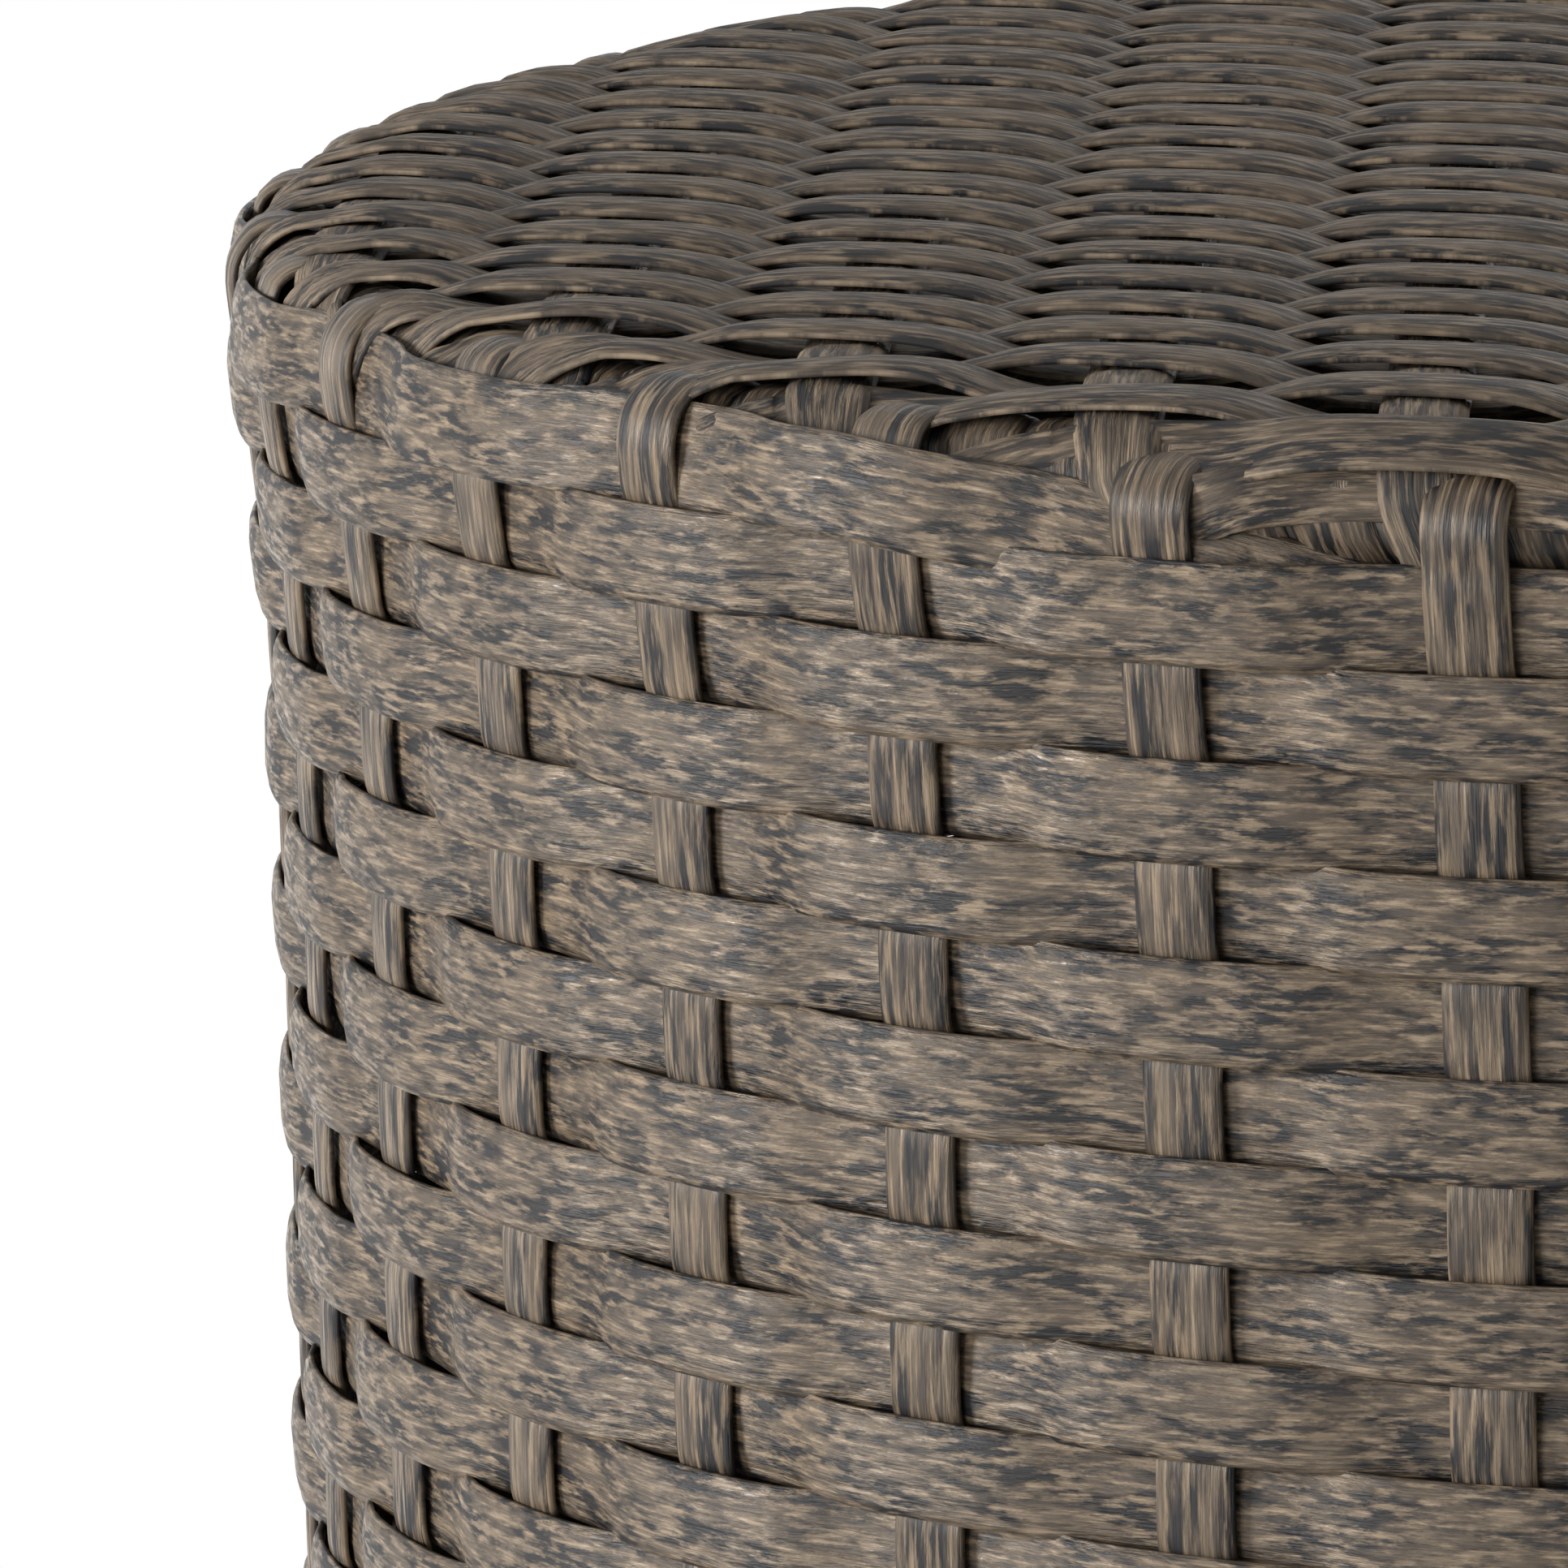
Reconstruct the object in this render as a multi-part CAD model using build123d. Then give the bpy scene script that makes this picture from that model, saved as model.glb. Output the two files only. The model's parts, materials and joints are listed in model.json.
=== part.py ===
from build123d import *
from math import asin, cos, degrees, pi, radians, sin, sqrt
import os

# Wicker drum side table. Millimetres, +Z up, origin on the floor under the table's centre.

# Driving dimensions
height = 450.0            # floor to table top
wall_radius = 205.0       # middle of the woven wall
flare = 3.0               # how far the wall leans out at the rim
flare_height = 70.0       # the part of the wall that leans out
strip_width = 9.2         # flat wicker strip
strip_thick = 1.4
row_pitch = 10.3          # one turn of the wall weaver
stake_count = 39          # odd, so that one weaver alternates by itself
gap_stakes = 3            # stakes to one opening of the weave
gap_turns = 6             # turns of the weaver to one row of openings
gap_rows = 6
gap_width = 12.0
gap_height = 4.0
first_stake_angle = 200.8
warp_count = 13           # top strips, front to back
warp_pitch = 30.6
warp_shift = -5.5         # middle warp from the centre
warp_turn = -5.0          # warps' lean from front to back, seen from above
rod_dia = 12.0            # hoops
cross_rod_dia = 10.0
post_dia = 19.0
post_wall = 1.5
weld_depth = 0.8          # how far a hoop is let into a post
skirt_gap = 12.0          # floor to the lowest strip
border_turn = 115.0       # how far the border goes round under the bottom hoop
tuck_angle = 55.0         # where the stakes tuck under the top, up from the rim's outermost line

stud_dia = 8.0
stud_length = 40.0
stud_clearance = 0.05
pad_dia = 32.0
pad_height = 9.0
nut_flats = 13.0
nut_height = 5.0
nut_gap = 0.3             # pad to lock nut when screwed right in
insert_flange = 2.0
insert_length = 24.0

# Worked out from the driving dimensions
rod_radius = rod_dia / 2
weave_thick = 2 * strip_thick
rim_bend = rod_radius + strip_thick                  # rod centre to the middle of the weave
flare_radius = (flare_height**2 + flare**2) / (2 * flare)
lean = asin(flare_height / flare_radius)             # wall's lean from upright at the rim
top_rod_z = height - weave_thick - rod_radius
top_rod_r = wall_radius + flare - rim_bend * cos(lean)
flare_top_z = top_rod_z - rim_bend * sin(lean)
flare_start_z = flare_top_z - flare_height
low_rod_r = wall_radius - rim_bend
low_rod_z = skirt_gap + rod_radius + weave_thick
mid_rod_z = (low_rod_z + top_rod_z) / 2
rim_row_z = height - 1.4 * row_pitch                 # lower edge of the rim weaver
post_r = low_rod_r - rod_radius + weld_depth - post_dia / 2
post_bore = post_dia - 2 * post_wall
insert_z = pad_height + nut_gap + nut_height         # underside of the insert's flange
post_z = insert_z + insert_flange
cross_rod_z = top_rod_z
post_angles = [0, 90, 180, 270]
XZ = Plane.XZ


def polar(radius, angle, z=0.0):
    """A point at a radius and an angle in degrees round the Z axis."""
    return (radius * cos(radians(angle)), radius * sin(radians(angle)), z)


def on_rim(offset, angle):
    """A point of the rim's bend, offset from the middle of the weave; 0 is level with the rod, 90 on top."""
    bend = rim_bend + offset
    return (top_rod_r + bend * cos(radians(angle)), top_rod_z + bend * sin(radians(angle)))


def flare_point(offset, z):
    """A point of the leaning wall at about height z, offset from the middle of the weave."""
    turn = asin((z - flare_start_z) / flare_radius)
    reach = flare_radius - offset
    return (wall_radius + flare_radius - reach * cos(turn), flare_start_z + reach * sin(turn))


def wall_edge(offset, z_from, angle_to):
    """The wall's line from height z_from, up the flare and round the rim to angle_to."""
    lean_deg = degrees(lean)
    foot, knee = (wall_radius + offset, z_from), (wall_radius + offset, flare_start_z)
    half = flare_point(offset, (flare_start_z + flare_top_z) / 2)
    middle = on_rim(offset, (angle_to - lean_deg) / 2)
    return [
        Line(foot, knee),
        ThreePointArc(knee, half, on_rim(offset, -lean_deg)),
        ThreePointArc(on_rim(offset, -lean_deg), middle, on_rim(offset, angle_to)),
    ]


def band(inner, outer):
    """A face between two open lines of edges that run the same way, in the XZ plane."""
    ends = [Line(inner[0] @ 0, outer[0] @ 0), Line(inner[-1] @ 1, outer[-1] @ 1)]
    return XZ * make_face(Wire(inner + outer + ends).edges())


def spun(face, start=0.0, sweep=360.0):
    """A face of the XZ plane turned round the Z axis from a start angle."""
    return Rot(0, 0, start) * revolve(face, Axis.Z, sweep)


def wall_gaps():
    """Openings beside the stakes: each stands for the small gaps of the crossings round it."""
    pitch = 360 / stake_count
    beside = degrees((strip_width + gap_width) / 2 / wall_radius)
    cutter = Box(4 * weave_thick, gap_width, gap_height)
    gaps = []
    for row in range(gap_rows):
        z = low_rod_z + row_pitch * gap_turns * (row + 0.5)
        for stake in range(row % gap_stakes, stake_count, gap_stakes):
            angle = first_stake_angle + pitch * stake + beside
            gaps.append(Pos(polar(wall_radius, angle, z)) * Rot(0, 0, angle) * cutter)
    return gaps


def wall_weave():
    """The weaver's turns, as the shell that they close up to, from the bottom hoop to the rim."""
    low = flare_point(-strip_thick, rim_row_z)
    top = flare_point(0, rim_row_z)
    def side(offset, end):
        foot, knee = (wall_radius + offset, low_rod_z), (wall_radius + offset, flare_start_z)
        half = flare_point(offset, (flare_start_z + rim_row_z) / 2)
        return [Line(foot, knee), ThreePointArc(knee, half, end)]
    return spun(band(side(-strip_thick, low), side(0, top))) - wall_gaps()


def rim_weaver():
    """The weaver's first turn, bent round the top hoop."""
    def side(offset):
        lean_deg = degrees(lean)
        foot, knee = flare_point(offset, rim_row_z), on_rim(offset, -lean_deg)
        half = flare_point(offset, (rim_row_z + flare_top_z) / 2)
        middle = on_rim(offset, (tuck_angle - lean_deg) / 2)
        return [ThreePointArc(foot, half, knee), ThreePointArc(knee, middle, on_rim(offset, tuck_angle))]
    return spun(band(side(-strip_thick), side(0)))


def wall_stakes():
    """The upright strips outside the weaver, folded over the rim."""
    sweep = degrees(strip_width / wall_radius)
    face = band(wall_edge(0, low_rod_z, tuck_angle), wall_edge(strip_thick, low_rod_z, tuck_angle))
    pitch = 360 / stake_count
    return [spun(face, first_stake_angle + pitch * i - sweep / 2, sweep) for i in range(stake_count)]


def warp_strip(x):
    """One top warp, cut to the flat of the top."""
    reach = sqrt(top_rod_r**2 - (abs(x) + strip_width / 2) ** 2)
    at = Rot(0, 0, warp_turn) * Pos(x, 0, height - strip_thick / 2)
    return at * Box(strip_width, 2 * reach, strip_thick)


def warp_places():
    return [warp_shift + (i - (warp_count - 1) / 2) * warp_pitch for i in range(warp_count)]


def top_weave():
    """The closely packed top wefts, as the panel that they make, rounded down over the top hoop."""
    under, over = -strip_thick, strip_thick
    middle = (tuck_angle + 90) / 2
    edges = [
        Line((0, height - weave_thick), on_rim(under, 90)),
        ThreePointArc(on_rim(under, 90), on_rim(under, middle), on_rim(under, tuck_angle)),
        Line(on_rim(under, tuck_angle), on_rim(over, tuck_angle)),
        ThreePointArc(on_rim(over, tuck_angle), on_rim(over, middle), on_rim(over, 90)),
        Line(on_rim(over, 90), (0, height)),
        Line((0, height), (0, height - weave_thick)),
    ]
    return spun(XZ * make_face(Wire(edges).edges())) - [warp_strip(x) for x in warp_places()]


def bottom_border():
    """The strips' lower ends, wrapped in under the bottom hoop."""
    def under(reach, angle):
        return (low_rod_r + reach * cos(radians(angle)), low_rod_z - reach * sin(radians(angle)))

    def side(reach):
        return [ThreePointArc(under(reach, 0), under(reach, border_turn / 2), under(reach, border_turn))]
    return spun(band(side(rod_radius), side(rod_radius + weave_thick)))


def hoop(radius, z):
    return Pos(0, 0, z) * Torus(radius, rod_radius)


def post(angle, hoops, rods):
    """An upright tube, let into the hoops outside it and coped under the cross rod on its top."""
    length = cross_rod_z - post_z
    centre = Pos(polar(post_r, angle, post_z + length / 2))
    tube = centre * (Cylinder(post_dia / 2, length) - Cylinder(post_bore / 2, length))
    return tube - hoops - rods


def cross_rods(top_hoop):
    """One rod across the top hoop and two half rods butted against it."""
    reach, radius = top_rod_r, cross_rod_dia / 2
    long_rod = Pos(0, 0, cross_rod_z) * Rot(0, 90, 0) * Cylinder(radius, 2 * reach) - top_hoop
    half = Pos(0, reach / 2, cross_rod_z) * Rot(90, 0, 0) * Cylinder(radius, reach)
    half = half - top_hoop - Pos(0, 0, cross_rod_z) * Rot(0, 90, 0) * Cylinder(radius, 60)
    return {"cross_rod_long": long_rod, "cross_rod_back": half, "cross_rod_front": Rot(0, 0, 180) * half}


def lathe(points):
    """A solid turned from an outline of radius and height points."""
    return spun(XZ * make_face(Polyline(*points, close=True).edges()))


def tube_insert():
    """The threaded insert pressed up into a post's end."""
    bore, flange, plug = stud_dia / 2 + stud_clearance, post_dia / 2, post_bore / 2
    top = post_z + insert_length
    return lathe([(bore, insert_z), (flange, insert_z), (flange, post_z), (plug, post_z), (plug, top - 2),
                  (plug - 1, top), (bore, top)])


def lock_nut():
    hexagon = extrude(RegularPolygon(nut_flats / sqrt(3), 6), nut_height)
    bore = Cylinder(stud_dia / 2 + stud_clearance, 3 * nut_height)
    return Pos(0, 0, insert_z - nut_height) * (hexagon - bore)


def foot_pad():
    """The foot's moulded pad: a low cone with a rounded edge and a recess for the stud."""
    radius, neck = pad_dia / 2, nut_flats / 2 + 1.5
    body = lathe([(0, 0), (radius - 1.5, 0), (radius, 1.5), (radius, 3.5), (neck, pad_height - 1),
                  (neck, pad_height), (0, pad_height)])
    return body - Pos(0, 0, pad_height) * Cylinder(stud_dia / 2, 10)


def foot_stud():
    base, top, radius = pad_height - 5, pad_height + stud_length - 5, stud_dia / 2
    return lathe([(0, base), (radius, base), (radius, top - 1), (radius - 1, top), (0, top)])


hoops = {"hoop_top": hoop(top_rod_r, top_rod_z), "hoop_middle": hoop(low_rod_r, mid_rod_z),
         "hoop_bottom": hoop(low_rod_r, low_rod_z)}
rods = cross_rods(hoops["hoop_top"])
parts = {
    "wall_weave": wall_weave(),
    "rim_weaver": rim_weaver(),
    "wall_stakes": Compound(children=wall_stakes()),
    "top_weave": top_weave(),
    "top_warps": Compound(children=[warp_strip(x) for x in warp_places()]),
    "bottom_border": bottom_border(),
    **hoops,
    **rods,
    "lock_nuts": Compound(children=[Pos(polar(post_r, a)) * lock_nut() for a in post_angles]),
}
for number, angle in enumerate(post_angles, 1):
    place = Pos(polar(post_r, angle))
    parts[f"post_{number}"] = post(angle, list(hoops.values()), list(rods.values()))
    parts[f"tube_insert_{number}"] = place * tube_insert()
    parts[f"foot_pad_{number}"] = place * foot_pad()
    parts[f"foot_stud_{number}"] = place * foot_stud()

os.makedirs("parts", exist_ok=True)
for name, shape in parts.items():
    export_step(shape, f"parts/{name}.step")
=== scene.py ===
# %% [markdown]
# # A wicker drum table, woven strip by strip
# The table is a round drum: flat plastic wicker strips woven over a frame of metal hoops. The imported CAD
# model gives the frame, the feet and the outer sizes that the weave keeps close to. This lesson weaves the
# strips that the CAD model shows only as plain shells. The weave is worked out in millimetres and turned to
# metres when a mesh is made. The floor and the lamps are placed in metres.

# %% Load the frame and read its sizes
import bpy
import json
import numpy as np
from mathutils import Matrix, Vector


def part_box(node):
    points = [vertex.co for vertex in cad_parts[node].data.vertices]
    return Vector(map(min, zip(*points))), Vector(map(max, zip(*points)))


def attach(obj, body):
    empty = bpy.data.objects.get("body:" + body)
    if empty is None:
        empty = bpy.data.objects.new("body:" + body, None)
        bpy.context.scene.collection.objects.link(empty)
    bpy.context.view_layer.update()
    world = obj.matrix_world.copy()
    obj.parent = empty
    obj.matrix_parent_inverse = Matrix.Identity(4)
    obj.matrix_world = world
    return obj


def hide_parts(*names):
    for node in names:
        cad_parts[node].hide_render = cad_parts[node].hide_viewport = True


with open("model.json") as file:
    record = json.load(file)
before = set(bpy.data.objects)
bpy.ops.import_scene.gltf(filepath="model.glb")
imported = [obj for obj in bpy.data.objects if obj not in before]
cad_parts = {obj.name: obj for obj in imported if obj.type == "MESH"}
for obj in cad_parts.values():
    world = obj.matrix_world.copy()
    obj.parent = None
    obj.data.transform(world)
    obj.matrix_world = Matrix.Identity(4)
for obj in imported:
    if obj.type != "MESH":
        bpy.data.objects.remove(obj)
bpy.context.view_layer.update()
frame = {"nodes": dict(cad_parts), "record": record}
MM = 0.001


def size_mm(node):
    """A CAD node's lowest and highest corners, in millimetres."""
    low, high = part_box(node)
    return np.array(low) / MM, np.array(high) / MM


# %% [markdown]
# ## The camera
# The photograph is a close view of the rim from a little above it, taken with a long lens, so lines that are
# level and parallel hardly run together. The camera could be aimed at a target, but a slight roll is easier
# to give by its own three axes: right, up and ahead, first looking down and then rolled.

# %% Camera at the photograph's viewing angle
IMAGE_SIDE = 1932                 # pixels, the picture is square
LENS_PIXELS = 15000               # focal length in pixels of that picture
SENSOR_MM = 36.0
CAMERA_PLACE = (-149.0, -1365.0, 649.0)   # from the table's middle, on the floor
LOOK_DOWN = np.radians(11.16)
ROLL = np.radians(-1.69)

right = np.array([1.0, 0.0, 0.0])
up = np.array([0.0, np.sin(LOOK_DOWN), np.cos(LOOK_DOWN)])
ahead = np.array([0.0, np.cos(LOOK_DOWN), -np.sin(LOOK_DOWN)])
rolled_right = np.cos(ROLL) * right + np.sin(ROLL) * up
rolled_up = np.cos(ROLL) * up - np.sin(ROLL) * right
camera_data = bpy.data.cameras.new("camera")
camera_data.sensor_width = SENSOR_MM
camera_data.lens = LENS_PIXELS / IMAGE_SIDE * SENSOR_MM
camera_data.clip_end = 50.0
camera = bpy.data.objects.new("camera", camera_data)
camera.matrix_world = Matrix.Translation(Vector(CAMERA_PLACE) * MM) @ Matrix(
    np.column_stack([rolled_right, rolled_up, -ahead]).tolist()).to_4x4()
bpy.context.collection.objects.link(camera)
bpy.context.scene.camera = camera
print("lens", round(camera_data.lens, 1), "mm")

# %% [markdown]
# ## The line that every strip follows
# Seen in section, the wall is one smooth line: under the bottom hoop, up the straight wall, out along a
# slight flare, round the top hoop and in across the flat top. A strip lies on this line at some offset.
# Writing the line once, as a function of the length along it, lets each strip be placed by simple sums.

# %% The section line, as a function of length along it
WALL_RADIUS, FLARE, FLARE_HEIGHT = 205.0, 3.0, 70.0
STRIP_WIDTH, STRIP_THICK = 9.2, 1.4
ROW_PITCH, STAKES = 10.3, 39
hoop_low, hoop_high = size_mm("hoop_bottom")
ROD_RADIUS = (hoop_high[2] - hoop_low[2]) / 2
BEND = ROD_RADIUS + STRIP_THICK                         # rod centre to the middle of the weave
LOW_ROD_Z = (hoop_high[2] + hoop_low[2]) / 2
top_low, top_high = size_mm("hoop_top")
TOP_ROD_Z = (top_high[2] + top_low[2]) / 2
FLARE_RADIUS = (FLARE_HEIGHT**2 + FLARE**2) / (2 * FLARE)
LEAN = np.arcsin(FLARE_HEIGHT / FLARE_RADIUS)
TOP_ROD_R = WALL_RADIUS + FLARE - BEND * np.cos(LEAN)
STRAIGHT = TOP_ROD_Z - BEND * np.sin(LEAN) - FLARE_HEIGHT - LOW_ROD_Z
FLARE_LENGTH = FLARE_RADIUS * LEAN
RIM_START = STRAIGHT + FLARE_LENGTH
RIM_END = RIM_START + BEND * (np.pi / 2 + LEAN)         # where the flat top begins


def section(length, offset=0.0):
    """Radius, height and outward tilt of the wall's section line at a length along it.
    Below 0 it turns under the bottom hoop by length / BEND; then it rises straight; then it leans out on an
    arc of FLARE_RADIUS; then it turns round the top hoop on an arc of BEND; then it runs level towards the
    middle. The point is moved off the line by offset, along the outward normal (cos tilt, sin tilt)."""
    under = np.clip(length, -np.pi * BEND, 0) / BEND
    lean = np.clip(length - STRAIGHT, 0, FLARE_LENGTH) / FLARE_RADIUS
    turn = np.clip(length - RIM_START, 0, RIM_END - RIM_START) / BEND
    tilt = under - lean + turn
    radius = (WALL_RADIUS - BEND * (1 - np.cos(under)) + FLARE_RADIUS * (1 - np.cos(lean))
              + BEND * (np.cos(turn - LEAN) - np.cos(LEAN)) * (turn > 0) - np.clip(length - RIM_END, 0, None))
    height = (LOW_ROD_Z + BEND * np.sin(under) + np.clip(length, 0, STRAIGHT) + FLARE_RADIUS * np.sin(lean)
              + BEND * (np.sin(turn - LEAN) + np.sin(LEAN)) * (turn > 0))
    return radius + offset * np.cos(tilt), height + offset * np.sin(tilt), tilt


def on_wall(length, angle, offset):
    """Points on the wall and their outward normals. The section at a length is turned round the table's axis
    by an angle, and the point is moved out by an offset."""
    radius, height, tilt, angle = np.broadcast_arrays(*section(length, offset), angle)
    point = np.stack([radius * np.cos(angle), radius * np.sin(angle), height], -1)
    normal = np.stack([np.cos(tilt) * np.cos(angle), np.cos(tilt) * np.sin(angle), np.sin(tilt)], -1)
    return point, normal


print("top hoop radius", round(TOP_ROD_R, 1), "section length to the flat", round(RIM_END, 1))

# %% [markdown]
# ## Strips as grids
# The wicker is extruded as a flat ribbon with rounded edges. It could be a Blender curve with a bevel, but
# then its twist and width would be hard to steer. Here each ribbon is a profile carried along a path: the
# path's points make one side of a grid and the profile's points the other. The UV map holds millimetres along
# and across the ribbon, so that the streaks of the plastic can follow it.

# %% One function that turns paths into ribbons
PROFILE_POINTS = 12
FLAT_FACE, ROUND_EDGE = 2 / 3.4, 2 / 2.6                # powers that square up an ellipse
CROWN = 0.4                                             # a ribbon's middle stands out from its edges
OUTSIDE_PATH = 0.4                                      # the share of the crown that lies outside the path
TABLE = "table"                                         # the body that every ribbon belongs to
profile_angle = (np.arange(PROFILE_POINTS) + 0.5) * 2 * np.pi / PROFILE_POINTS
profile_cos, profile_sin = np.cos(profile_angle), np.sin(profile_angle)
PROFILE = np.stack([np.sign(profile_cos) * np.abs(profile_cos) ** FLAT_FACE,
                    np.sign(profile_sin) * np.abs(profile_sin) ** ROUND_EDGE], -1) / 2
pieces = {}


def unit(vectors):
    """Vectors scaled to length 1."""
    return vectors / np.maximum(np.linalg.norm(vectors, axis=-1, keepdims=True), 1e-9)


def length_so_far(points):
    """The length of each path up to each of its points: the running sum of its steps, starting at 0."""
    steps = np.linalg.norm(np.diff(points, axis=1), axis=-1)
    return np.concatenate([np.zeros((len(points), 1)), np.cumsum(steps, 1)], 1)


def ribbons(name, points, normals, first_mm, twist=0.0, width=STRIP_WIDTH, draw=1.0):
    """A piece made of ribbons. points and normals are (ribbon, step, 3). At each step the ribbon's width lies
    along tangent x normal, turned about the tangent by twist, and the rounded profile is set out on it, with
    its middle raised by a parabola of height CROWN. first_mm is where each ribbon begins on its reel, so that
    no two ribbons have the same streaks, and draw is how far its streaks were drawn out."""
    count, steps, ring = points.shape[0], points.shape[1], PROFILE_POINTS
    tangent = unit(np.gradient(points, axis=1))
    across = unit(np.cross(tangent, normals))
    face = np.cross(across, tangent)
    turn = np.broadcast_to(np.asarray(twist, float), (count, steps))[..., None]
    across, face = np.cos(turn) * across + np.sin(turn) * face, np.cos(turn) * face - np.sin(turn) * across
    wide = np.broadcast_to(np.asarray(width, float), (count, steps))[..., None, None]
    bowed = PROFILE[:, 1:] * STRIP_THICK + CROWN * (OUTSIDE_PATH - 4 * PROFILE[:, :1] ** 2)
    grid = points[:, :, None] + across[:, :, None] * PROFILE[:, :1] * wide + face[:, :, None] * bowed
    along = length_so_far(points) / draw + np.asarray(first_mm, float).reshape(-1, 1)
    uv = np.stack(np.broadcast_arrays(along[:, :, None], PROFILE[:, 0] * wide[..., 0]), -1).reshape(-1, 2)

    index = np.arange(count * steps * ring).reshape(count, steps, ring)
    after = np.roll(index, -1, axis=2)
    sides = np.stack([index[:, :-1], index[:, 1:], after[:, 1:], after[:, :-1]], -1).reshape(-1, 4)
    j = np.arange(ring // 2 - 1)
    cap = np.stack([j, j + 1, ring - 2 - j, ring - 1 - j], -1)
    caps = np.concatenate([index[:, 0][:, cap], index[:, -1][:, cap][..., ::-1]]).reshape(-1, 4)
    quads = np.concatenate([sides, caps])

    mesh = bpy.data.meshes.new(name)
    mesh.from_pydata(grid.reshape(-1, 3) * MM, [], quads)
    layer = mesh.uv_layers.new(name="reel")
    layer.data.foreach_set("uv", uv[quads.ravel()].ravel())
    mesh.polygons.foreach_set("use_smooth", np.ones(len(quads), bool))
    mesh.update()
    piece = bpy.data.objects.new(name, mesh)
    bpy.context.collection.objects.link(piece)
    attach(piece, TABLE)
    pieces[name] = piece
    print(name, count, "ribbons,", 2 * len(quads), "triangles")
    return piece


# %% Waves, drift and easing for the weave


def wave(crossings, squareness):
    """A weaving wave: a cosine over crossings that is flattened at its crests, +1 at even and -1 at odd
    ones. The smaller squareness is, the flatter the crests and the sharper the bends between them."""
    c = np.cos(np.pi * crossings)
    return c / np.sqrt(c**2 + squareness**2) * np.sqrt(1 + squareness**2)


def unevenness(rng, at, step, amount):
    """Smooth random drift: one random value every step, joined by half cosines. The generator is seeded, so
    each run is the same."""
    at = np.asarray(at, float) / step
    low = int(np.floor(at.min()))
    value = rng.uniform(-amount, amount, int(np.ceil(at.max())) - low + 3)
    cell = np.floor(at).astype(int) - low
    blend = 0.5 - 0.5 * np.cos(np.pi * (at - np.floor(at)))
    return value[cell] * (1 - blend) + value[cell + 1] * blend


def ease(x, start, stop):
    """0 before start, 1 after stop, and a smooth S between."""
    t = np.clip((x - start) / (stop - start), 0, 1)
    return t * t * (3 - 2 * t)


# %% [markdown]
# ## The wall's weaver
# One long ribbon winds round the drum from the rim down, over one stake and under the next. Separate rings,
# one for each row, would be simpler, but every ring would need a seam. With an odd number of stakes the over
# and under change places by themselves on every turn, so the path is a single helix: angle, height and
# in-and-out offset are all functions of how many stakes the ribbon has passed.

# %% Weave the wall
FIRST_STAKE = np.radians(200.8 + 4 * 360 / STAKES)      # the stake that the weaver's tail lies under
STAKE_STEP = 2 * np.pi / STAKES
WALL_SHIFT = 0.45                                       # keeps the inner crests off the hoops
WEAVER_SWING, WEAVER_SQUARENESS = 1.5, 0.52             # in and out of the middle of the weave
WEAVER_WIDTH, PRESSED_WIDER = 10.95, 0.55               # pressed flat, most of all under a stake
TOP_ROW, LAST_ROW = RIM_START + 0.8, 5.0                # the rows' middles, on the section line
RIM_LAYER = 0.8                                         # room at the rim for the top strips' ends
LAYER_FROM, LAYER_FULL = 28, 2                          # it grows between these two, below the first row
ROW_DRIFT, TWIST_DRIFT = 0.11, np.radians(4.0)
RIM_TWIST = np.radians(10.0)                            # the first turn leans in over the rim
TAIL, TUCKED_UNTIL = 0.65, 1.2                          # stakes before the first one, and after it
TAIL_DROP = 10.5                                        # the tail is drawn down behind row two
TAIL_OFFSET, TAIL_SINK, ROW_TWO_OUT = 0.6, 1.7, 0.8     # it lies close to the hoop, and row two over it
STEPS_PER_STAKE, WEAVER_PIECES = 10, 4
rng = np.random.default_rng(39)
weaver_turns = (TOP_ROW - LAST_ROW) / ROW_PITCH
passed = np.arange(-TAIL, weaver_turns * STAKES, 1 / STEPS_PER_STAKE)


def rim_room(length):
    """How far the wall's strips stand out at the rim, over the ends of the top strips."""
    return RIM_LAYER * ease(length, TOP_ROW - LAYER_FROM, TOP_ROW - LAYER_FULL)


def weaver_path(stakes_passed):
    """The weaver's points, normals, twist and width at a number of stakes passed. It comes down by one row
    pitch in each turn. Its start is tucked down behind the second row, by a power of the stakes to go."""
    length = TOP_ROW - ROW_PITCH * stakes_passed / STAKES + unevenness(rng, stakes_passed, 1.0, ROW_DRIFT)
    tucked = np.clip((TUCKED_UNTIL - stakes_passed) / (TUCKED_UNTIL + TAIL), 0, 1) ** 1.5
    in_out = wave(stakes_passed, WEAVER_SQUARENESS)
    offset = WALL_SHIFT + rim_room(length) - WEAVER_SWING * in_out
    behind = ease(tucked, 0.05, 0.3)
    turn_later = np.clip(stakes_passed - STAKES, -1, 1)
    offset = offset * (1 - behind) + (TAIL_OFFSET - TAIL_SINK * ease(-stakes_passed, 0.1, TAIL)) * behind
    offset = offset + ROW_TWO_OUT * np.sin(np.pi * turn_later) ** 2
    angle = FIRST_STAKE - STAKE_STEP * stakes_passed
    points, normals = on_wall(length - TAIL_DROP * tucked, angle, offset)
    first_turn = 1 - ease(stakes_passed, STAKES * 0.6, STAKES)
    twist = unevenness(rng, stakes_passed, 1.0, TWIST_DRIFT) - RIM_TWIST * first_turn
    return points, normals, twist, WEAVER_WIDTH + PRESSED_WIDER * ease(in_out, -0.6, 0.9)


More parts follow.
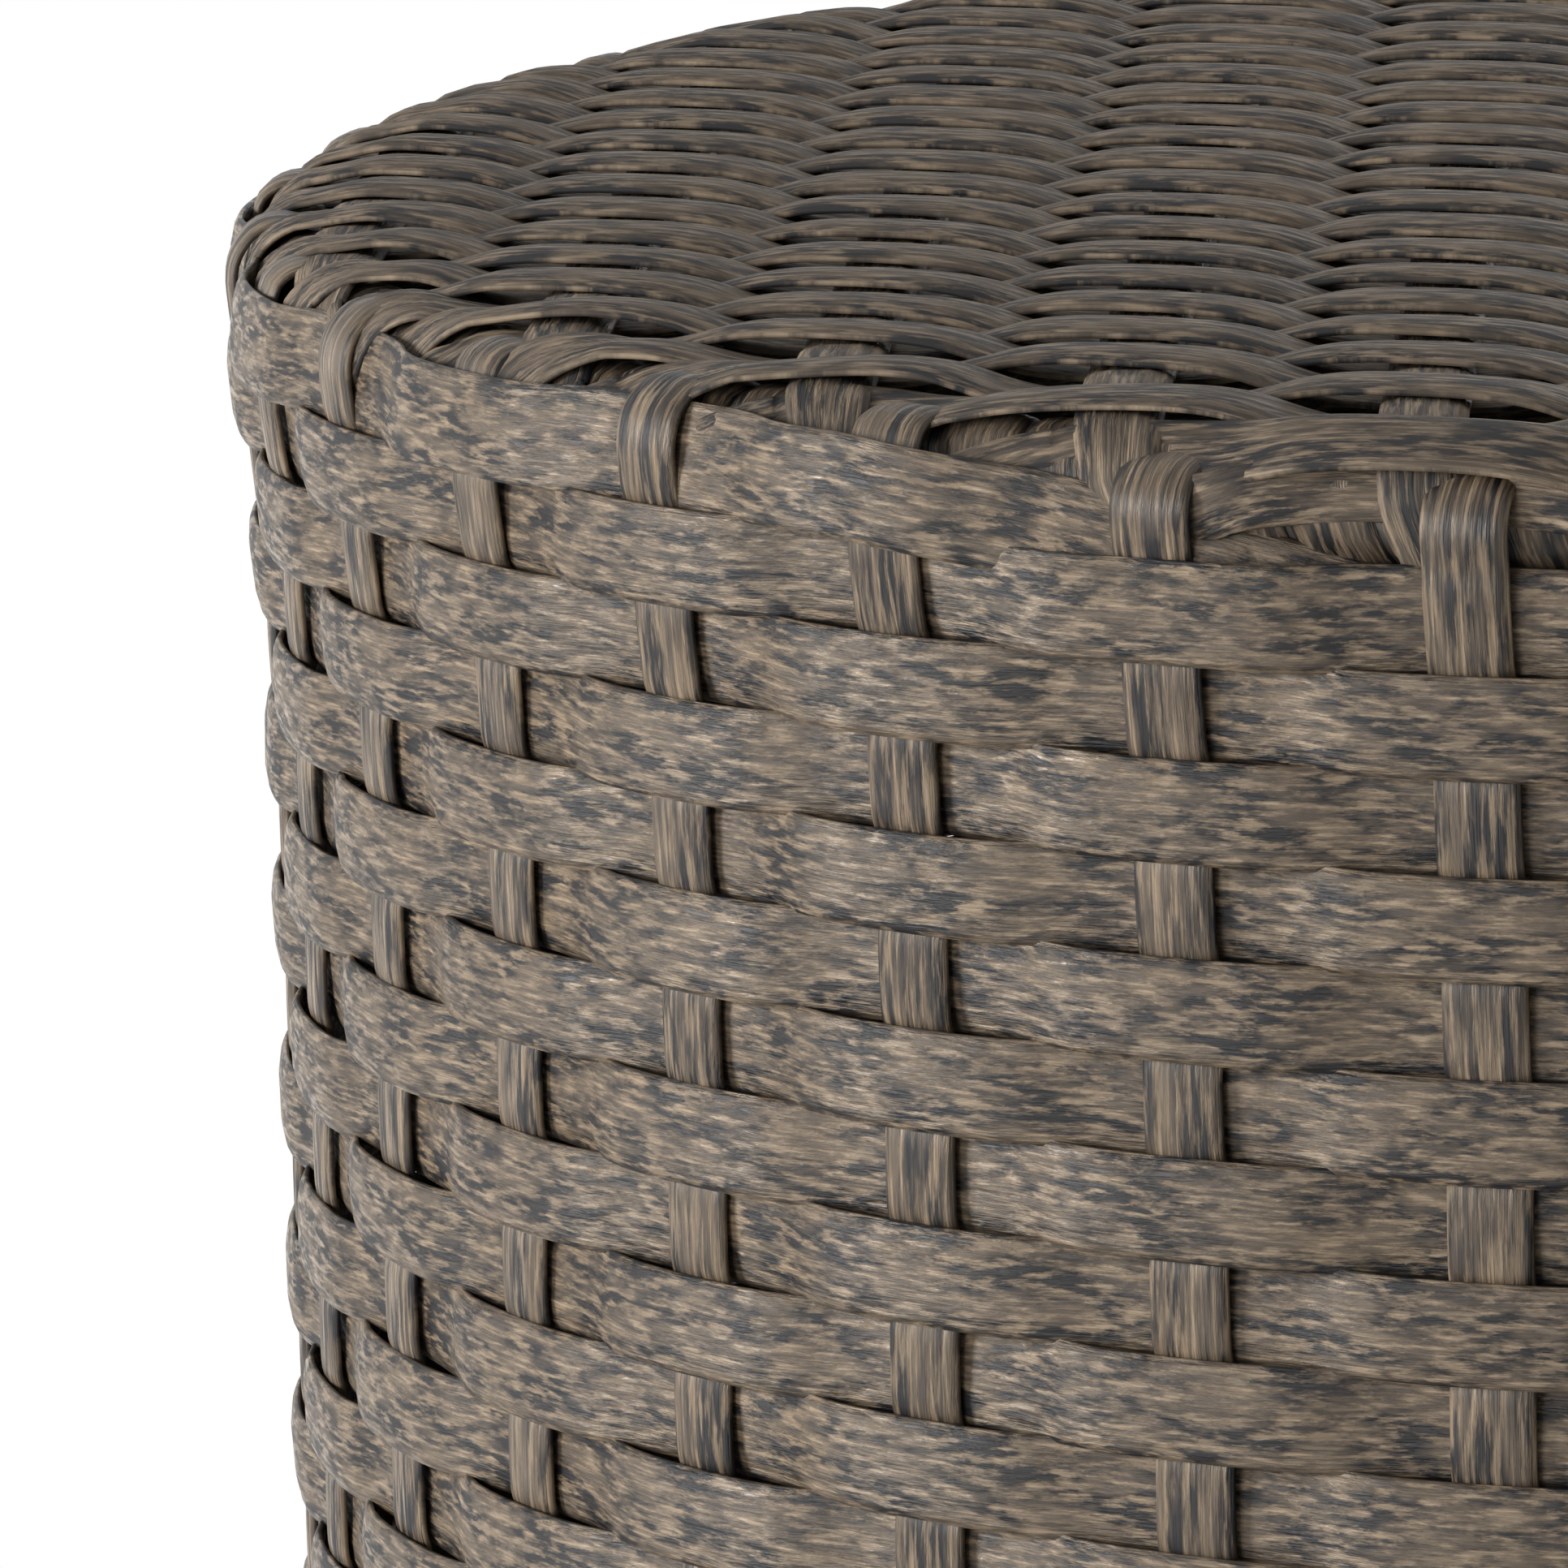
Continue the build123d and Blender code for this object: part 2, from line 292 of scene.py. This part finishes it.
points, normals, twist, width = weaver_path(passed)
reel = length_so_far(points[None])[0]
joins = np.linspace(0, passed[-1], WEAVER_PIECES + 1)[1:-1]
joins = 2 * np.round(joins / 2)                         # even numbers, so each join is hidden under a stake
ends = [0, *np.searchsorted(passed, joins), len(passed)]
for number, (begin, stop) in enumerate(zip(ends[:-1], ends[1:]), 1):
    part = slice(begin, min(stop + 1, len(passed)))
    ribbons(f"wall_weaver_{number}", points[None, part], normals[None, part], [reel[begin]],
            twist[None, part], width[None, part])
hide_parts("wall_weave", "rim_weaver")
print("weaver", round(reel[-1] / 1000, 1), "m long in", round(weaver_turns, 1), "turns")

# %% [markdown]
# ## The stakes
# Thirty-nine upright ribbons carry the weaver. They are nearly straight, because the weaver does most of the
# bending. At the top each one folds over the rim and dives under the woven top; at the bottom it ends on the
# wrapped border, just below the weaver's last row. One stake could be copied round the table, but the helix
# shifts each one's over and under a little, so all are worked out together from the stake's number and the
# length along it.

# %% Set the stakes
STAKE_SWING, STAKE_SQUARENESS = 0.35, 0.35
STAKE_STEPS, STAKE_PIECES = 520, 3
STAKE_FOOT, STAKE_END = -4.0, RIM_END + 20.0
FOLD_LIFT, FOLD_DEPTH, FOLD_LENGTH = 0.2, 4.5, 12       # over the rim, then down under the top
DIVE_BEFORE, DIVE_SOONER = 8, 5                         # before the flat top, sooner where wefts follow it
ALONG_FROM, ALONG_FULL = np.radians(16), np.radians(5)  # the angle between those wefts and the rim
STAKE_DRIFT, DRIFT_STEP = 0.0016, 40.0                  # radians round the table, millimetres up the wall
WEFT_TURN = np.radians(24.0)                            # the top wefts' turn, seen from above
STAKE_REEL, STAKE_CUT = 60000, 700                      # place on the reel, and spacing between the stakes
stake_number = np.arange(STAKES)[:, None]
stake_length = np.linspace(STAKE_FOOT, STAKE_END, STAKE_STEPS)[None, :]
row = (TOP_ROW - stake_length) / ROW_PITCH - stake_number / STAKES
alternate = wave(row + stake_number, STAKE_SQUARENESS)
above = ease(-row, 0.25, 0.75)                          # past the first row, where the fold begins
angle = FIRST_STAKE - STAKE_STEP * stake_number + np.zeros_like(stake_length)
along_rim = ease(np.abs(np.sin(angle + WEFT_TURN)), np.cos(ALONG_FROM), np.cos(ALONG_FULL))
dive_from = RIM_END - DIVE_BEFORE - DIVE_SOONER * along_rim
offset = WALL_SHIFT + rim_room(stake_length) + STAKE_SWING * alternate * (1 - above) + FOLD_LIFT * above
offset = offset - FOLD_DEPTH * ease(stake_length, dive_from, dive_from + FOLD_LENGTH)
drift = [unevenness(rng, stake_length[0], DRIFT_STEP, STAKE_DRIFT) for _ in range(STAKES)]
angle = angle + np.stack(drift)
points, normals = on_wall(stake_length, angle, offset)
for number, group in enumerate(np.array_split(np.arange(STAKES), STAKE_PIECES), 1):
    ribbons(f"wall_stakes_{number}", points[group], normals[group], STAKE_REEL + STAKE_CUT * group, draw=2.0)
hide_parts("wall_stakes")

# %% [markdown]
# ## The top
# The top is a second weave, flat and closely packed: warps run from front to back and wefts from side to
# side. Where a strip reaches the rim it bends down over the top hoop and its end is tucked in behind the
# wall's first rows. A flat weave cut to a circle would be easier, but its cut ends would show. Here a strip
# is a straight line on plan, so its distance from the middle tells where the rim begins, and the section line
# does the rest.

# %% Strips across the top and over the rim
TOP_SHIFT, RIM_OFFSET = 0.3, -0.6                       # on the flat, and lying on the hoop
TURN_BEND = 70                                          # degrees from the hoop's top
TURN_RADIUS = TOP_ROD_R + BEND * np.cos(np.radians(90 - TURN_BEND))   # here a strip leaves its plan line
TURN_LENGTH = RIM_END - BEND * np.radians(TURN_BEND)
TUCK = 15.0                                             # from there down behind the wall's rows
LEAST_SLANT, SLANT_EASE = 0.42, 6                       # a strip's tuck pulls it down at least so much
CALM_FROM, CALM_TO, CALMED = 9, 2, 0.4                  # the weave's swing is less on the hoop
TUCK_EASE, SINK, SINK_EASE = 5, 1.2, 8                  # and the tucked end lies close to the hoop


def top_lengths(middles, steps):
    """Evenly stepped lengths along each strip, both ways from its middle, to its two tucked ends."""
    near = np.linalg.norm(middles, axis=1)[:, None]
    steep = np.sqrt(1 - (near / TURN_RADIUS) ** 2)
    half = np.sqrt(TURN_RADIUS**2 - near**2) + TUCK / np.maximum(steep, LEAST_SLANT)
    return half * np.linspace(-1, 1, steps)


def top_strips(middles, along, length, swing):
    """Strips across the top. middles (strip, 2) are the strips' nearest points to the table's middle. On plan
    a strip is a straight line out to TURN_RADIUS, so its distance from the middle gives its place on the
    section line. Past that it goes on down the wall at the slant it arrives with, as a stretched strip does
    on a drum: its share of the slant goes to the angle and the rest to the section line."""
    near = np.linalg.norm(middles, axis=1)[:, None]
    end = np.sqrt(TURN_RADIUS**2 - near**2)
    run = np.clip(length, -end, end)
    plan = middles[:, None] + along * run[..., None]
    radius = np.linalg.norm(plan, axis=-1)
    bend = np.arcsin(np.clip((radius - TOP_ROD_R) / BEND, 0, 1))
    spare = np.abs(length) - np.abs(run)
    down = RIM_END + np.clip(TOP_ROD_R - radius, 0, None) - BEND * bend
    steep = np.sqrt(1 - (near / TURN_RADIUS) ** 2)
    down = down - spare * steep - np.clip(LEAST_SLANT - steep, 0, None) * spare**2 / (spare + SLANT_EASE)
    sideways = (plan[..., 0] * along[1] - plan[..., 1] * along[0]) / TURN_RADIUS**2
    angle = np.arctan2(plan[..., 1], plan[..., 0]) + np.sign(length) * spare * sideways
    calm = ease(radius, TOP_ROD_R - CALM_FROM, TOP_ROD_R + CALM_TO)
    tucking = ease(-down, -TURN_LENGTH, TUCK_EASE - TURN_LENGTH)
    offset = TOP_SHIFT * (1 - calm) + RIM_OFFSET * calm + swing * (1 - CALMED * calm) * (1 - tucking)
    return on_wall(down, angle, offset - SINK * ease(-down, -RIM_START, SINK_EASE - RIM_START))


print("a top strip leaves its plan line at radius", round(TURN_RADIUS, 1))

# %% Weave the top
WARP_TURN = np.radians(5.0)
WARP_ALONG = np.array([np.sin(WARP_TURN), np.cos(WARP_TURN)])
WEFT_ALONG = np.array([np.cos(WEFT_TURN), -np.sin(WEFT_TURN)])
SKEW = WARP_ALONG @ WEFT_ALONG
SQUARE_SHARE = np.sqrt(1 - SKEW**2)                     # a slanted pitch's share square to the strips
WARP_PITCH, WARP_SHIFT = 32.4, -8.3
WEFT_PITCH, WEFT_SHIFT = 8.67, -8.04
WEFT_SWING, WARP_SWING = 1.7, 0.2
WEFT_SQUARENESS, WARP_SQUARENESS = 0.7, 0.35
WEFT_STEPS, WARP_STEPS = 260, 420
TWIST_STEP, WEFT_TWIST = 31.0, np.radians(2.5)          # a weft's twist drifts, about once a warp
EDGE_FROM, EDGE_FULL, EDGE_SPREAD = 28, 12, 0.3         # the last wefts lie further apart
LOWEST_BEND = np.radians(58)
WEFT_WIDTH, EDGE_WIDER, BEND_NARROWER = 9.4, 1.4, 4.0   # they lie flatter too, and those on the bend on edge
WARP_REEL, WEFT_REEL, TOP_CUT = 110000, 130000, 500


def rim_place(at):
    """A weft's distance from the middle on plan, from its distance along the section. The last wefts are
    spread out a little, and past the flat they lie on the hoop's bend, down to LOWEST_BEND from its top."""
    spread = np.abs(at) + EDGE_SPREAD * np.clip(np.abs(at) - TOP_ROD_R + EDGE_FROM, 0, None)
    bend = np.clip((spread - TOP_ROD_R) / BEND, 0, LOWEST_BEND)
    return np.sign(at) * (np.minimum(spread, TOP_ROD_R) + BEND * np.sin(bend))


warp = np.arange(-6, 7)                                 # 0 is the strip by the middle
warp_at = WARP_SHIFT + WARP_PITCH * warp
weft = np.arange(-24, 27)
weft_at = rim_place((WEFT_SHIFT + WEFT_PITCH * weft) * SQUARE_SHARE) / SQUARE_SHARE
warp_middles = warp_at[:, None] * (WEFT_ALONG - SKEW * WARP_ALONG)
weft_middles = weft_at[:, None] * (WARP_ALONG - SKEW * WEFT_ALONG)

length = top_lengths(warp_middles, WARP_STEPS)
crossing = (length - SKEW * warp_at[:, None] - WEFT_SHIFT) / WEFT_PITCH
swing = WARP_SWING * wave(crossing + warp[:, None], WARP_SQUARENESS)
points, normals = top_strips(warp_middles, WARP_ALONG, length, swing)
ribbons("top_warp_strips", points, normals, WARP_REEL + TOP_CUT * np.arange(len(warp)), draw=2.0)
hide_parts("top_warps")

length = top_lengths(weft_middles, WEFT_STEPS)
crossing = (length - SKEW * weft_at[:, None] - WARP_SHIFT) / WARP_PITCH
swing = -WEFT_SWING * wave(crossing + weft[:, None], WEFT_SQUARENESS)
points, normals = top_strips(weft_middles, WEFT_ALONG, length, swing)
twist = np.stack([unevenness(rng, strip, TWIST_STEP, WEFT_TWIST) for strip in length])
from_middle = np.linalg.norm(weft_middles, axis=1)
near_edge = ease(from_middle, TOP_ROD_R - EDGE_FROM, TOP_ROD_R - EDGE_FULL)
on_bend = ease(from_middle, TOP_ROD_R, TOP_ROD_R + BEND)
width = (WEFT_WIDTH + EDGE_WIDER * near_edge - BEND_NARROWER * on_bend)[:, None]
for name, group in zip(("front", "back"), np.array_split(np.arange(len(weft)), 2)):
    ribbons(f"top_weft_strips_{name}", points[group], normals[group], WEFT_REEL + TOP_CUT * group,
            twist[group], width[group], draw=1.3)
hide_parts("top_weave")

# %% [markdown]
# ## The wrapped hoops
# The top and bottom hoops are wrapped like a handle: one ribbon wound round and round, each turn beside the
# last, so no metal shows where the weave leaves a gap. A row of separate rings would be simpler, but a wound
# ribbon slants a little on every turn. The path is a helix on a ring: the angle round the table and the angle
# round the hoop both grow with the turn count.

# %% Wrap the top and bottom hoops
WRAP_GAP, STEPS_PER_TURN = 0.5, 14
BORDER_LIFT = 1.0                                       # on its rod; the rim's wrap is sunk in, under the top
BORDER_REEL, RIM_REEL = 200000.0, 220000.0


def wrap(name, ring_radius, ring_height, coil_radius, first_mm):
    """A ribbon wound round a hoop. With t turns made out of T, a point is at angle t / T of the way round the
    table and t full turns round the hoop, coil_radius from its centre line."""
    turns = int(2 * np.pi * ring_radius / (STRIP_WIDTH + WRAP_GAP))
    turn = np.linspace(0, turns, turns * STEPS_PER_TURN + 1)
    table, hoop = 2 * np.pi * turn / turns, -2 * np.pi * turn
    normal = np.stack([np.cos(hoop) * np.cos(table), np.cos(hoop) * np.sin(table), np.sin(hoop)], -1)
    height = np.full_like(turn, ring_height)
    centre = np.stack([ring_radius * np.cos(table), ring_radius * np.sin(table), height], -1)
    return ribbons(name, (centre + coil_radius * normal)[None], normal[None], [first_mm], draw=1.5)


border = wrap("border_wrap", WALL_RADIUS - BEND, LOW_ROD_Z, ROD_RADIUS + BORDER_LIFT, BORDER_REEL)
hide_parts("bottom_border")
wrap("rim_wrap", TOP_ROD_R, TOP_ROD_Z, ROD_RADIUS, RIM_REEL)

# %% [markdown]
# ## Finishes
# Every finish starts from what the real one is. Pictures could be wrapped round the pieces, but worked-out
# noise has no seams and can be set in millimetres. A few helpers come first: one turns a colour from the way
# it is written to the way light adds up, one adds a node, one starts a material and one makes streaks.

# %% Helpers for the finishes


def linear(hex_colour):
    """An sRGB hex colour as linear RGBA."""
    srgb = np.array([int(hex_colour[i:i + 2], 16) for i in (1, 3, 5)]) / 255
    rgb = np.where(srgb <= 0.04045, srgb / 12.92, ((srgb + 0.055) / 1.055) ** 2.4)
    return (*rgb.tolist(), 1.0)


def node(material, kind, inputs=None, **settings):
    """Adds a node with its settings. inputs maps a socket to a value or to another node's output."""
    tree = material.node_tree
    new = tree.nodes.new(kind)
    for key, value in settings.items():
        setattr(new, key, value)
    for socket, value in (inputs or {}).items():
        if isinstance(value, bpy.types.NodeSocket):
            tree.links.new(value, new.inputs[socket])
        else:
            new.inputs[socket].default_value = value
    return new


def finish(name, **shader):
    """A new material with a Principled shader whose constant values are set on its own sockets."""
    material = bpy.data.materials.new(name)
    material.use_nodes = True
    principled = material.node_tree.nodes["Principled BSDF"]
    for socket, value in shader.items():
        principled.inputs[socket.replace("_", " ")].default_value = value
    return material, principled


def streaks(material, place, long_mm, wide_mm, detail, low, high):
    """Noise stretched along the ribbon, one feature long_mm by wide_mm, with low to high spread to 0 to 1."""
    scaled = node(material, "ShaderNodeMapping",
                  {"Vector": place, "Scale": (1 / long_mm, 1 / wide_mm, 1.0)})
    noise = node(material, "ShaderNodeTexNoise",
                 {"Vector": scaled.outputs["Vector"], "Scale": 1.0, "Detail": detail, "Roughness": 0.6})
    return node(material, "ShaderNodeMapRange",
                {"Value": noise.outputs["Fac"], "From Min": low, "From Max": high},
                interpolation_type="SMOOTHSTEP").outputs["Result"]


# %% [markdown]
# ## The wicker's finish
# The wicker is extruded polyethylene. Two browns, a tan and a near black run together in the die, so its
# colours lie in streaks along the ribbon, and the die leaves fine lines. Plain noise would look like stone,
# so four layers of noise are drawn out along the ribbon's own length: broad shades, clouds, flecks and grain.

# %% Wicker
# Extruded polyethylene: mottled along its length, faintly ribbed, with a soft wax-like sheen where it bends.
# The top is rubbed and weathered, so its sheen is duller.
SHADE_DARK, SHADE_LIGHT, GRAIN, FLECK = "#584c40", "#695a49", "#877661", "#161415"
GRAIN_RELIEF_MM = 0.12


def woven_finish(name, glossy, dull):
    """The ribbon's finish: tan grain over two browns, darkened by flecks that gather in clouds."""
    material, principled = finish(name, IOR=1.5, Specular_IOR_Level=0.3)
    reel_uv = node(material, "ShaderNodeUVMap", uv_map="reel").outputs["UV"]
    broad = streaks(material, reel_uv, 22.0, 6.0, 2.0, 0.36, 0.64)
    cloud = streaks(material, reel_uv, 11.0, 3.5, 3.0, 0.33, 0.66)
    fleck = streaks(material, reel_uv, 4.6, 1.0, 6.0, 0.37, 0.57)
    grain = streaks(material, reel_uv, 6.0, 0.4, 4.0, 0.38, 0.66)
    tan = node(material, "ShaderNodeMix", {0: broad, 6: linear(SHADE_DARK), 7: linear(SHADE_LIGHT)},
               data_type="RGBA").outputs[2]
    tan = node(material, "ShaderNodeMix", {0: grain, 6: tan, 7: linear(GRAIN)}, data_type="RGBA").outputs[2]
    dark = node(material, "ShaderNodeMath", {0: cloud, 1: 0.75, 2: 0.45}, operation="MULTIPLY_ADD")
    dark = node(material, "ShaderNodeMath", {0: dark.outputs["Value"], 1: fleck}, operation="MULTIPLY",
                use_clamp=True)
    colour = node(material, "ShaderNodeMix", {0: dark.outputs["Value"], 6: tan, 7: linear(FLECK)},
                  data_type="RGBA")
    rough = node(material, "ShaderNodeMapRange", {"Value": fleck, "To Min": glossy, "To Max": dull})
    relief = node(material, "ShaderNodeMath", {0: grain, 1: fleck}, operation="ADD")
    bump = node(material, "ShaderNodeBump", {"Height": relief.outputs["Value"], "Strength": 0.7,
                                             "Distance": GRAIN_RELIEF_MM * MM})
    links = material.node_tree.links
    links.new(colour.outputs[2], principled.inputs["Base Color"])
    links.new(rough.outputs["Result"], principled.inputs["Roughness"])
    links.new(bump.outputs["Normal"], principled.inputs["Normal"])
    return material


wall_wicker = woven_finish("extruded_polyethylene_wicker", 0.28, 0.45)
top_wicker = woven_finish("weathered_polyethylene_wicker", 0.55, 0.7)
for name, piece in pieces.items():
    piece.data.materials.append(top_wicker if name.startswith("top_") else wall_wicker)
print("wicker on", len(pieces), "pieces")

# %% [markdown]
# ## The frame's and the feet's finishes
# The frame is powder-coated aluminium, the studs and nuts are zinc-plated steel, and the pads and inserts are
# moulded plastic. One flat colour each would be simpler, but close up a real surface has a little grit in its
# colour and relief. One function serves all four, with the grit's size in millimetres.

# %% Frame and feet


def moulded(name, dark, light, grit_mm, roughness, relief_mm, metallic=0.0):
    """A finish with fine grit in its colour and surface, placed in object space."""
    material, principled = finish(name, Metallic=metallic, Roughness=roughness)
    place = node(material, "ShaderNodeTexCoord").outputs["Object"]
    grit = node(material, "ShaderNodeTexNoise",
                {"Vector": place, "Scale": 1 / (grit_mm * MM), "Detail": 3.0}).outputs["Fac"]
    tone = node(material, "ShaderNodeMix", {0: grit, 6: linear(dark), 7: linear(light)}, data_type="RGBA")
    relief = node(material, "ShaderNodeBump",
                  {"Height": grit, "Strength": 0.4, "Distance": relief_mm * MM})
    material.node_tree.links.new(tone.outputs[2], principled.inputs["Base Color"])
    material.node_tree.links.new(relief.outputs["Normal"], principled.inputs["Normal"])
    return material


finishes = {
    # Baked powder: an even dark brown with a fine orange-peel grain and a half-dull sheen.
    "frame_aluminium": moulded("powder_coated_aluminium", "#2f2a27", "#3b3531", 1.2, 0.5, 0.08),
    # Plated steel: a pale, slightly cloudy metal with soft reflections.
    "zinc_steel": moulded("zinc_plated_steel", "#a8a8a4", "#c4c4c0", 2.5, 0.32, 0.02, 1.0),
    # Moulded nylon: near black, with a dull sheen.
    "insert_nylon": moulded("moulded_nylon", "#191919", "#242424", 0.8, 0.55, 0.05),
    # Moulded polypropylene: near black, a little waxier.
    "foot_plastic": moulded("moulded_polypropylene", "#141414", "#202020", 1.0, 0.5, 0.06),
}
for sub in frame["record"]["subparts"]:
    if sub["material_slot"] in finishes:
        cad_node = frame["nodes"][sub["node"]]
        cad_node.data.materials.clear()
        cad_node.data.materials.append(finishes[sub["material_slot"]])
print("finishes:", sorted(finishes))

# %% [markdown]
# ## Floor and light
# The photograph has a white background and soft light from the left. More light on the floor would make it
# white but would wash out the table too. So the floor is pale and keeps the table's shadow near the feet. For
# rays that see it, straight or in a reflection, it fades to white further out, so no edge shows.

# %% Floor
# Plain matt paper: pale grey-white, with hardly any sheen.
FLOOR_HALF = 3.0                                        # metres, as are the next two
FADE_FROM, FADE_TO = 0.35, 0.75                         # from the table's middle


def seen_rays(material):
    """1 for a ray that sees the surface, straight or by way of a reflection or a clear piece, and 0 for one
    that only gathers light: the largest of the marks that the ray carries."""
    ray = node(material, "ShaderNodeLightPath").outputs
    seen = node(material, "ShaderNodeMath", {0: ray["Is Camera Ray"], 1: ray["Is Glossy Ray"]},
                operation="MAXIMUM").outputs["Value"]
    return node(material, "ShaderNodeMath", {0: seen, 1: ray["Is Transmission Ray"]},
                operation="MAXIMUM").outputs["Value"]


floor_mesh = bpy.data.meshes.new("floor")
floor_mesh.from_pydata([(-FLOOR_HALF, -FLOOR_HALF, 0), (FLOOR_HALF, -FLOOR_HALF, 0),
                        (FLOOR_HALF, FLOOR_HALF, 0), (-FLOOR_HALF, FLOOR_HALF, 0)], [], [(0, 1, 2, 3)])
floor = bpy.data.objects.new("floor", floor_mesh)
bpy.context.collection.objects.link(floor)
paper, shader = finish("white_paper", Roughness=0.9)
shader.inputs["Base Color"].default_value = linear("#e6e6e4")
place = node(paper, "ShaderNodeTexCoord").outputs["Object"]
away = node(paper, "ShaderNodeVectorMath", {0: place}, operation="LENGTH").outputs["Value"]
far = node(paper, "ShaderNodeMapRange", {"Value": away, "From Min": FADE_FROM, "From Max": FADE_TO},
           interpolation_type="SMOOTHSTEP").outputs["Result"]
fade = node(paper, "ShaderNodeMath", {0: far, 1: seen_rays(paper)}, operation="MULTIPLY").outputs["Value"]
white = node(paper, "ShaderNodeEmission", {"Color": (1, 1, 1, 1), "Strength": 1.0}).outputs["Emission"]
both = node(paper, "ShaderNodeMixShader", {0: fade, 1: shader.outputs["BSDF"], 2: white}).outputs["Shader"]
paper.node_tree.links.new(both, paper.node_tree.nodes["Material Output"].inputs["Surface"])
floor_mesh.materials.append(paper)
print("floor", 2 * FLOOR_HALF, "m wide, white from", FADE_TO, "m out")

# %% Lamps and world
WORLD_LIGHT, WORLD_SEEN = 0.2, 1.0


def lamp(name, place, aim, side, watts):
    """A square soft lamp at a place, facing a point."""
    data = bpy.data.lights.new(name, "AREA")
    data.shape, data.size, data.energy = "SQUARE", side, watts
    new = bpy.data.objects.new(name, data)
    new.location = place
    new.rotation_euler = (Vector(aim) - Vector(place)).to_track_quat("-Z", "Y").to_euler()
    bpy.context.collection.objects.link(new)
    print(name, watts, "W")


lamp("key_left", (-1.6, -0.2, 0.65), (0, 0, 0.35), 0.5, 29)
lamp("window_left", (-1.4, -1.4, 0.55), (0, 0, 0.3), 0.9, 17)
lamp("fill_right", (1.6, -0.5, 0.6), (0, 0, 0.25), 0.8, 20)
lamp("fill_back", (0.7, 1.7, 0.5), (0, 0, 0.25), 0.8, 14)
world = bpy.data.worlds.new("studio")
world.use_nodes = True
bpy.context.scene.world = world
strength = node(world, "ShaderNodeMapRange", {"Value": seen_rays(world), "To Min": WORLD_LIGHT,
                                              "To Max": WORLD_SEEN}).outputs["Result"]
background = world.node_tree.nodes["Background"]
world.node_tree.links.new(strength, background.inputs["Strength"])
background.inputs["Color"].default_value = (1, 1, 1, 1)
bpy.context.scene.view_settings.view_transform = "Standard"
